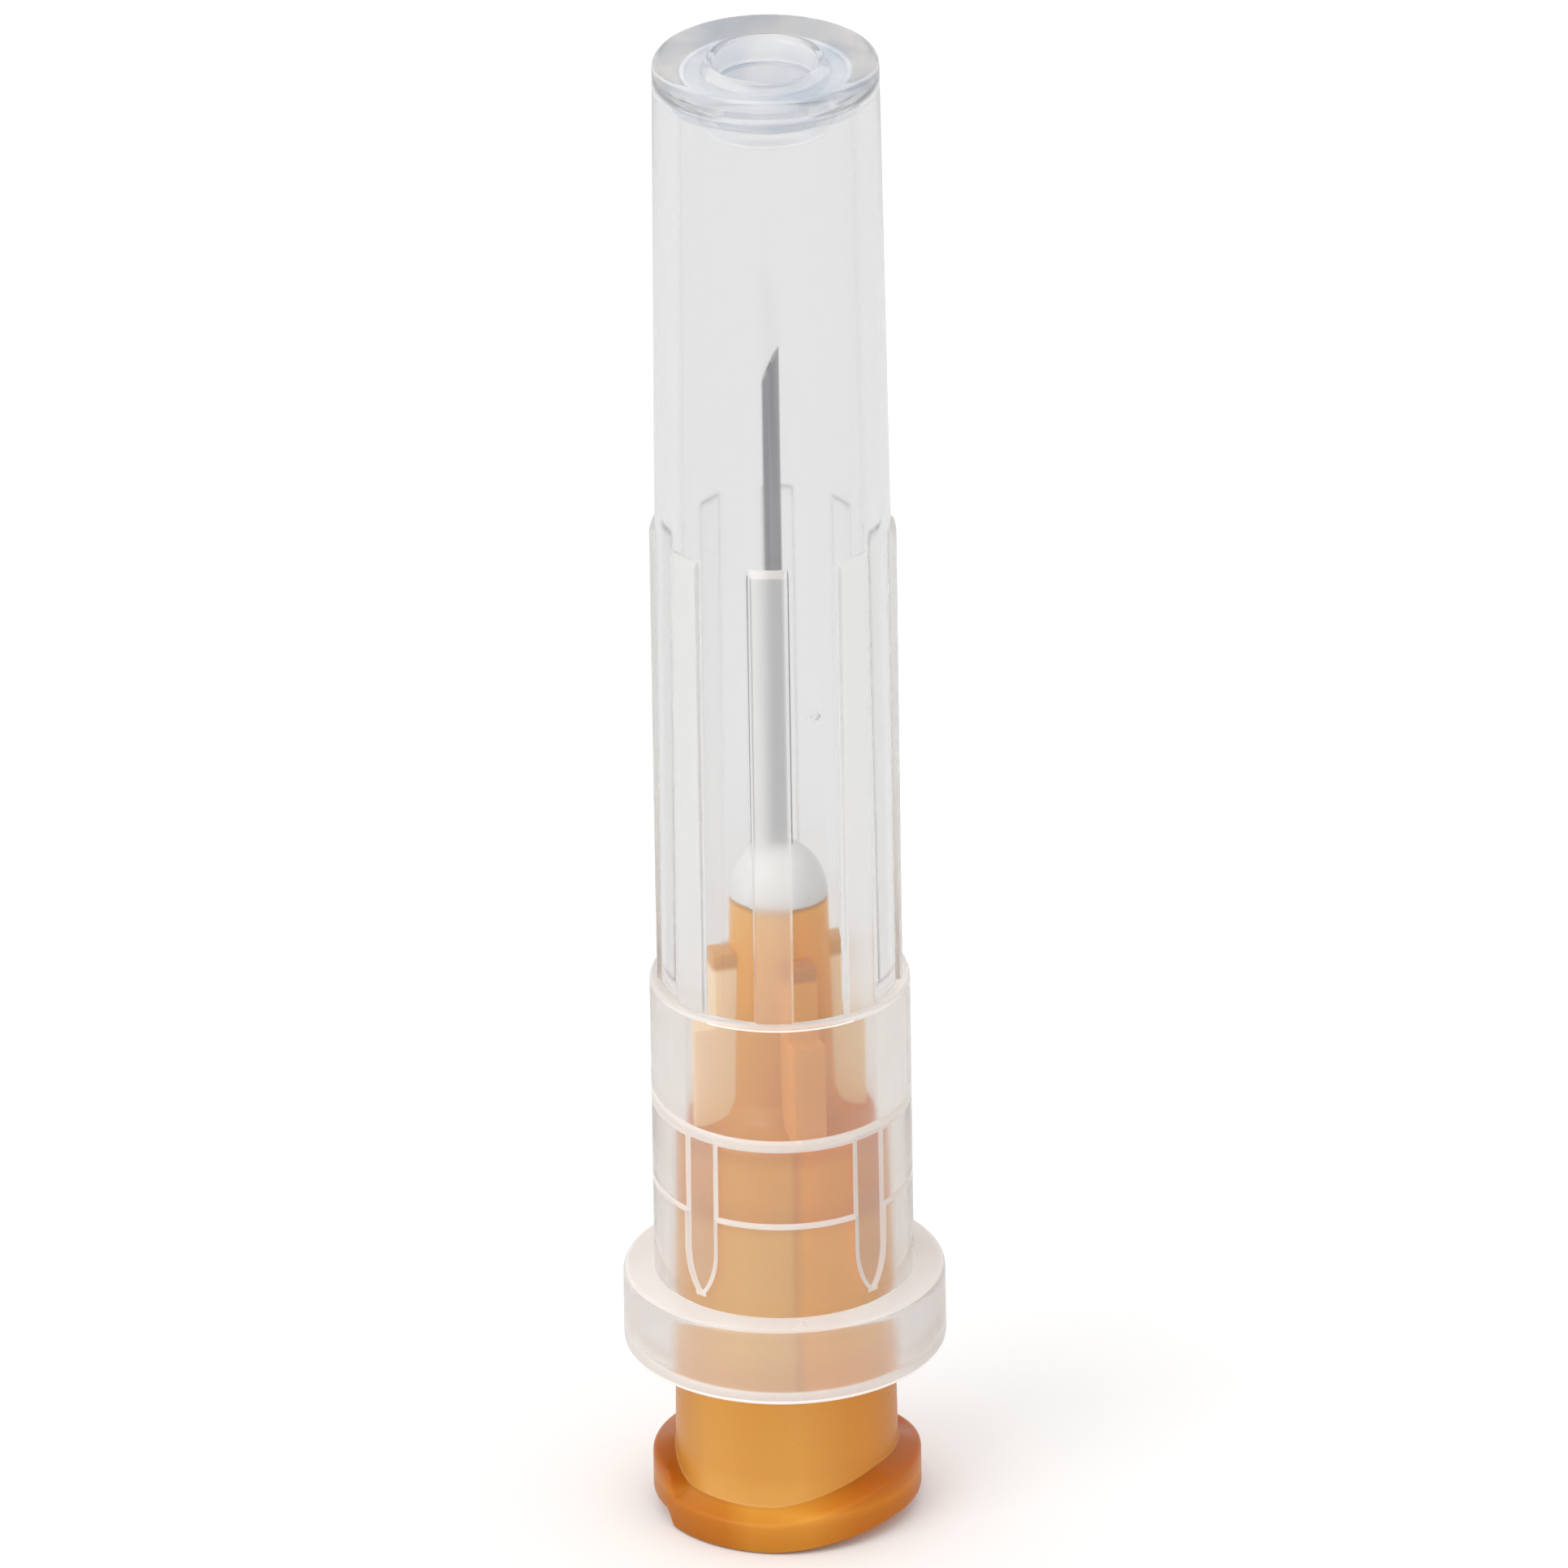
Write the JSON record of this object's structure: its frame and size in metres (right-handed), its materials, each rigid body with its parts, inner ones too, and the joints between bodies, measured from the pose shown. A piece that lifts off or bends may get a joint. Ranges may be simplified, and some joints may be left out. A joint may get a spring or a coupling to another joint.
{
  "type": "hypodermic needle",
  "caption": "Sterile injection needle with a luer hub and a short bevelled steel cannula, under a clear ribbed push-on sheath.",
  "frame": {"origin": "middle of the hub's open end, on the plane it stands on", "axes": "+Z along the cannula towards its tip, -Y the front of the picture, and the bevel opens towards -X"},
  "size_m": [0.0094, 0.0094, 0.0458],
  "materials": {
    "hub": "translucent orange moulded polypropylene, soft gloss",
    "cannula": "drawn stainless tube with a ground bevel",
    "adhesive": "cured white epoxy, soft gloss",
    "needle_cap": "clear, slightly milky moulded polypropylene"
  },
  "bodies": {
    "needle": {"hub": "hub", "cannula": "cannula", "adhesive": "adhesive"},
    "cap": {"needle_cap": "needle_cap"}
  },
  "joints": [
    {"name": "cap_pull", "type": "slide", "parent": "needle", "child": "cap", "axis": [0, 0, 1], "range_m": [0, 0.035]}
  ]
}
